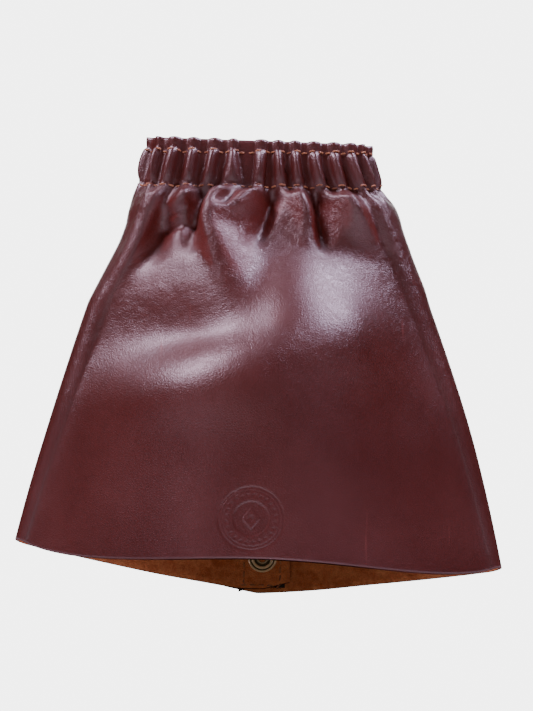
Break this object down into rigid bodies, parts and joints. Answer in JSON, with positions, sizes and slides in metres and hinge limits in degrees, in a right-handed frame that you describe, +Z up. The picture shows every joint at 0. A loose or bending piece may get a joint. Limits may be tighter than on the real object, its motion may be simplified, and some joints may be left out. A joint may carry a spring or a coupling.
{
  "type": "leather boot gaiter",
  "caption": "Short flared leather gaiter for a work boot, gathered at the top, with a lapped back closure that opens.",
  "frame": {"origin": "middle of the overall width and depth, on the plane that the hem stands on", "axes": "+Z up the leg, the closure faces +Y and the front faces -Y, +X is the wearer's side where the outer flap is hinged"},
  "size_m": [0.2098, 0.072, 0.2071],
  "materials": {
    "leather": "smooth oxblood pull-up leather",
    "elastic": "woven elastic",
    "thread": "tan-orange bonded thread",
    "tape": "black hook-and-loop tape",
    "snap": "antique brass snap"
  },
  "bodies": {
    "wrap": {"front_panel": "leather", "elastic_front": "elastic", "upper_stitching_front": "thread", "lower_stitching_front": "thread"},
    "inner_flap": {"inner_flap": "leather", "elastic_inner_flap": "elastic", "upper_stitching_inner_flap": "thread", "lower_stitching_inner_flap": "thread", "loop_tape": "tape", "loop_tape_stitching": "thread", "snap_post": "snap", "snap_stud": "snap"},
    "outer_flap": {"outer_flap": "leather", "elastic_outer_flap": "elastic", "upper_stitching_outer_flap": "thread", "lower_stitching_outer_flap": "thread", "hook_tape": "tape", "hook_tape_stitching": "thread", "snap_socket": "snap", "snap_cap": "snap"}
  },
  "joints": [
    {"name": "outer_flap_open", "type": "hinge", "parent": "wrap", "child": "outer_flap", "pos_m": [0.092, 0.03075, 0], "axis": [0.2841, 0, -0.9588], "range_deg": [0, 110]},
    {"name": "inner_flap_open", "type": "hinge", "parent": "wrap", "child": "inner_flap", "pos_m": [-0.092, 0.03075, 0], "axis": [0.2841, 0, 0.9588], "range_deg": [0, 55]}
  ],
  "couplings": [
    {"joint": "inner_flap_open", "follows": "outer_flap_open", "ratio": 0.5}
  ]
}
